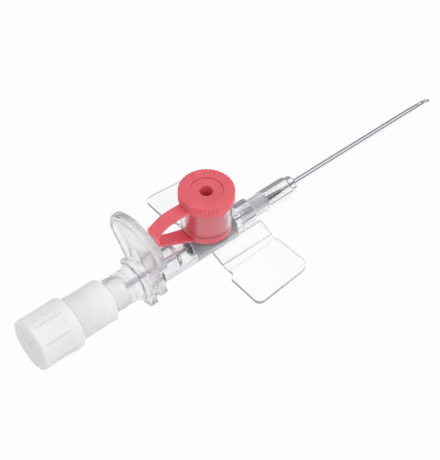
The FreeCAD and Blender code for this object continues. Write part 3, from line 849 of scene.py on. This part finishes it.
# %% [markdown]
# ## The two large mouldings
#
# The catheter hub and the needle hub are too involved for one outline: barrel, port, wings and lugs in
# one, and taper, lobed flange, chamber and thumb plate in the other. Their CAD shapes serve, but most
# edges are sharp, and an edge without a radius catches no light.
#
# So each is copied and cleaned first: points in the same place are joined, and flat neighbours become one
# face. A Bevel modifier can then round the true edges, and weighted normals keep the flats flat.
# Remeshing with voxels would round everything at once, but it leaves steps on thin slanted walls, and
# clear plastic shows each of them.
#
# The front of the catheter hub is plain turning, and it is where the needle is seen through the plastic.
# Facets would break its two lines up, so this part of the copy is taken off and swept with many segments.

# %% Softened copies of the mouldings
FLAT_ANGLE = math.radians(1.0)
EDGE_ANGLE = math.radians(28.0)
SAME_POINT = 0.0005


def softened_copy(name, node, width, body, finish):
    """A copy of a CAD node with its edges rounded; width in mm."""
    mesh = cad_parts[node].data.copy()
    mesh.name = name
    work = bmesh.new()
    work.from_mesh(mesh)
    bmesh.ops.remove_doubles(work, verts=work.verts[:], dist=SAME_POINT * MM)
    bmesh.ops.dissolve_limit(work, angle_limit=FLAT_ANGLE, verts=work.verts[:], edges=work.edges[:])
    for face in work.faces:
        face.smooth = True
    work.to_mesh(mesh)
    work.free()
    piece = bpy.data.objects.new(name, mesh)
    scene.collection.objects.link(piece)
    mesh.materials.clear()
    mesh.materials.append(finish)
    rounded = piece.modifiers.new("soft_edges", "BEVEL")
    rounded.width = width * MM
    rounded.segments = 3
    rounded.limit_method = "ANGLE"
    rounded.angle_limit = EDGE_ANGLE
    rounded.use_clamp_overlap = True
    evened = piece.modifiers.new("even_shading", "WEIGHTED_NORMAL")
    evened.keep_sharp = True
    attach(piece, body)
    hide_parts(node)
    print(name, len(mesh.vertices), "points")
    return piece


MOULD_EDGE = 0.12
softened_copy("grip_moulding", "needle_hub", MOULD_EDGE, "needle_unit", frosted)
hub_moulding = softened_copy("hub_moulding", "catheter_hub", MOULD_EDGE, "hub", clear)

# %% The front of the hub, turned
FRONT_CUT = -13.7
FRONT_OD = 5.0
FRONT_BORE = 3.0
SHOULDER_X, SHOULDER_END_X = -10.6, -10.0
NECK_OD, NECK_END_X = 3.64, -7.2
NOSE_OD, NOSE_END_X = 4.18, -1.4
SPIGOT_OD = 3.5
COLLAR_REAR_X = -9.3
KEPT_RADIUS = 2.6

trimmed = bmesh.new()
trimmed.from_mesh(hub_moulding.data)
bmesh.ops.bisect_plane(trimmed, geom=trimmed.verts[:] + trimmed.edges[:] + trimmed.faces[:],
                       plane_co=Vector((FRONT_CUT * MM, 0, 0)), plane_no=Vector((1, 0, 0)))
front_faces = []
for face in trimmed.faces:
    centre = face.calc_center_median() / MM
    if centre.x > FRONT_CUT and math.hypot(centre.y, centre.z) < KEPT_RADIUS:
        front_faces.append(face)
bmesh.ops.delete(trimmed, geom=front_faces, context="FACES")
trimmed.to_mesh(hub_moulding.data)
trimmed.free()
print("faces replaced by the turned front:", len(front_faces))

front = turned("hub_front", [
    (FRONT_CUT, FRONT_BORE / 2, 0),
    (FRONT_CUT, FRONT_OD / 2, 0),
    (SHOULDER_X, FRONT_OD / 2, 0.25),
    (SHOULDER_END_X, NECK_OD / 2, 0.2),
    (NECK_END_X, NECK_OD / 2, 0.12),
    (NECK_END_X, NOSE_OD / 2, 0.13),
    (NOSE_END_X, NOSE_OD / 2, 0.3),
    (NOSE_END_X, SPIGOT_OD / 2, 0.1),
    (0, SPIGOT_OD / 2, 0.3),
    (0, CATHETER_OD / 2, 0.05),
    (cone_end_x + CATHETER_NECK, CATHETER_OD / 2, 1.0),
    (cone_end_x, cone_end + tube_wall, 1.0),
    (cone_x, FERRULE_CONE_OD / 2 + tube_wall, 0),
    (cone_x, ferrule_high.z, 0),
    (COLLAR_REAR_X, ferrule_high.z, 0),
    (SHOULDER_X, FRONT_BORE / 2, 0.2),
], "hub", ["catheter_hub"], clear)
opened = bmesh.new()
opened.from_mesh(front.data)
rear_faces = []
for face in opened.faces:
    off_cut = max(abs(vertex.co.x - FRONT_CUT * MM) for vertex in face.verts)
    if off_cut < SAME_POINT * MM:
        rear_faces.append(face)
bmesh.ops.delete(opened, geom=rear_faces, context="FACES_ONLY")
opened.to_mesh(front.data)
opened.free()
print("rear faces opened:", len(rear_faces))

# %% Settings for clear things
scene.view_settings.view_transform = "Standard"
scene.cycles.max_bounces = 24
scene.cycles.transmission_bounces = 24
scene.cycles.transparent_max_bounces = 16
